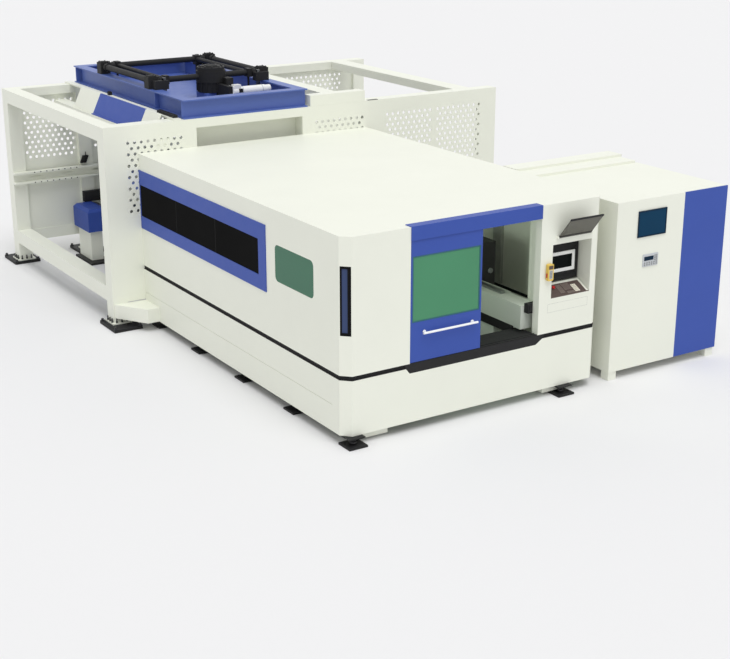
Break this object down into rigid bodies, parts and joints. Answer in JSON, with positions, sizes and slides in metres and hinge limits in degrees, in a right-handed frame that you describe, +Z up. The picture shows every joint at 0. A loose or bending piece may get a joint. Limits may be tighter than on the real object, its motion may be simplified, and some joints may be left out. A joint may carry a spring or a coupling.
{
  "type": "fiber laser cutting machine",
  "caption": "Enclosed fiber laser cutter with sliding front door, exchange pallets, perforated loading tower with a rack lift on top, and a control cabinet row",
  "frame": {"origin": "middle of the covered floor area, on the floor", "axes": "+X to the right of the front door, +Y from the front door to the tower, +Z up"},
  "size_m": [6.21, 9.0274, 3.02],
  "materials": {
    "white_paint": "warm white powder coat, fine orange peel",
    "blue_paint": "blue powder coat, satin",
    "black_paint": "black semi-matt paint",
    "grey_paint": "light grey machine paint",
    "bare_steel": "ground and brushed steel",
    "green_glass": "green laser safety glazing",
    "dark_glass": "near black safety glazing",
    "lamp_lens": "dark blue translucent lens, unlit",
    "black_plastic": "black moulded housing",
    "brown_plastic": "brown grey membrane surface",
    "red_plastic": "red moulded head",
    "smoked_lid": "smoke grey acrylic",
    "yellow_plastic": "yellow moulded housing",
    "motor_enamel": "white motor enamel",
    "screen_glass": "navy display window",
    "panel_aluminium": "satin aluminium plate"
  },
  "bodies": {
    "machine": {"base_panels": "white_paint", "left_wall": "white_paint", "right_wall": "white_paint", "rear_wall": "white_paint", "roof": "white_paint", "front_left_panel": "white_paint", "console_housing": "white_paint", "tower_posts": "white_paint", "tower_beams": "white_paint", "front_screen_left": "white_paint", "front_screen_right": "white_paint", "back_wall_panels": "white_paint", "link_duct": "white_paint", "support_columns": "white_paint", "side_cover_white": "white_paint", "cabinet_bodies": "white_paint", "header_cap": "blue_paint", "side_window_frame": "blue_paint", "column_caps": "blue_paint", "lift_frame": "blue_paint", "side_cover_blue": "blue_paint", "cabinet_blue_panel": "blue_paint", "trim_band": "black_paint", "door_sill": "black_paint", "corner_lamp_bezel": "black_paint", "enclosure_feet": "black_paint", "tower_pads": "black_paint", "gearboxes": "black_paint", "reducer": "black_paint", "bed_frame": "grey_paint", "door_rails": "bare_steel", "guide_rails": "bare_steel", "table_rails": "bare_steel", "fixed_window": "green_glass", "side_viewport": "green_glass", "side_window_pane": "dark_glass", "corner_lamp_lens": "lamp_lens", "monitor": "black_plastic", "keyboard_tray": "brown_plastic", "pendant": "yellow_plastic", "lift_motor": "motor_enamel", "cabinet_screen": "screen_glass", "cabinet_control_panel": "panel_aluminium"},
    "sliding_door": {"door_leaf": "blue_paint", "door_glass": "green_glass", "door_handle": "white_paint"},
    "lid": {"console_lid": "smoked_lid"},
    "stop_button": {"emergency_stop": "red_plastic"},
    "gantry": {"gantry_carriages": "black_paint", "gantry_beam": "grey_paint"},
    "cross_carriage": {"head_carriage": "black_paint"},
    "head": {"cutting_head": "bare_steel"},
    "pallet_a": {"upper_pallet": "bare_steel"},
    "pallet_b": {"lower_pallet": "bare_steel"},
    "lift": {"lift_carrier": "blue_paint", "rack_bars": "bare_steel"},
    "shaft_l": {"shaft_left": "black_paint"},
    "shaft_r": {"shaft_right": "black_paint"},
    "shaft_b": {"shaft_back": "black_paint"},
    "shaft_f": {"shaft_front": "black_paint"}
  },
  "joints": [
    {"name": "door_slide", "type": "slide", "parent": "machine", "child": "sliding_door", "axis": [1, 0, 0], "range_m": [0, 0.775]},
    {"name": "lid_hinge", "type": "hinge", "parent": "machine", "child": "lid", "pos_m": [0.357, -4.32027, 1.825], "axis": [1, 0, 0], "range_deg": [0, 141]},
    {"name": "stop_press", "type": "slide", "parent": "machine", "child": "stop_button", "axis": [0, 0.4472, -0.8944], "range_m": [0, 0.006], "stiffness_N_per_m": 900},
    {"name": "gantry_travel", "type": "slide", "parent": "machine", "child": "gantry", "axis": [0, 1, 0], "range_m": [-0.5, 2.5]},
    {"name": "cross_travel", "type": "slide", "parent": "gantry", "child": "cross_carriage", "axis": [1, 0, 0], "range_m": [-0.19, 1.25]},
    {"name": "head_height", "type": "slide", "parent": "cross_carriage", "child": "head", "axis": [0, 0, 1], "range_m": [-0.095, 0]},
    {"name": "pallet_a_run", "type": "slide", "parent": "machine", "child": "pallet_a", "axis": [0, 1, 0], "range_m": [0, 4.15]},
    {"name": "pallet_b_run", "type": "slide", "parent": "machine", "child": "pallet_b", "axis": [0, 1, 0], "range_m": [-4.15, 0]},
    {"name": "lift_travel", "type": "slide", "parent": "machine", "child": "lift", "axis": [0, 0, 1], "range_m": [0, 0.9]},
    {"name": "shaft_left_turn", "type": "hinge", "parent": "machine", "child": "shaft_l", "pos_m": [-1.84, 2.49373, 2.896], "axis": [0, 1, 0], "range_deg": [0, 1032]},
    {"name": "shaft_right_turn", "type": "hinge", "parent": "machine", "child": "shaft_r", "pos_m": [-0.19, 2.49373, 2.896], "axis": [0, 1, 0], "range_deg": [-1032, 0]},
    {"name": "shaft_back_turn", "type": "hinge", "parent": "machine", "child": "shaft_b", "pos_m": [-1.015, 3.30373, 2.896], "axis": [1, 0, 0], "range_deg": [-1032, 0]},
    {"name": "shaft_front_turn", "type": "hinge", "parent": "machine", "child": "shaft_f", "pos_m": [-1.015, 1.68373, 2.896], "axis": [1, 0, 0], "range_deg": [0, 1032]}
  ],
  "couplings": [
    {"joint": "pallet_b_run", "follows": "pallet_a_run", "ratio": -1},
    {"joint": "shaft_left_turn", "follows": "lift_travel", "rad_per_m": 20},
    {"joint": "shaft_right_turn", "follows": "lift_travel", "rad_per_m": -20},
    {"joint": "shaft_back_turn", "follows": "lift_travel", "rad_per_m": -20},
    {"joint": "shaft_front_turn", "follows": "lift_travel", "rad_per_m": 20}
  ]
}
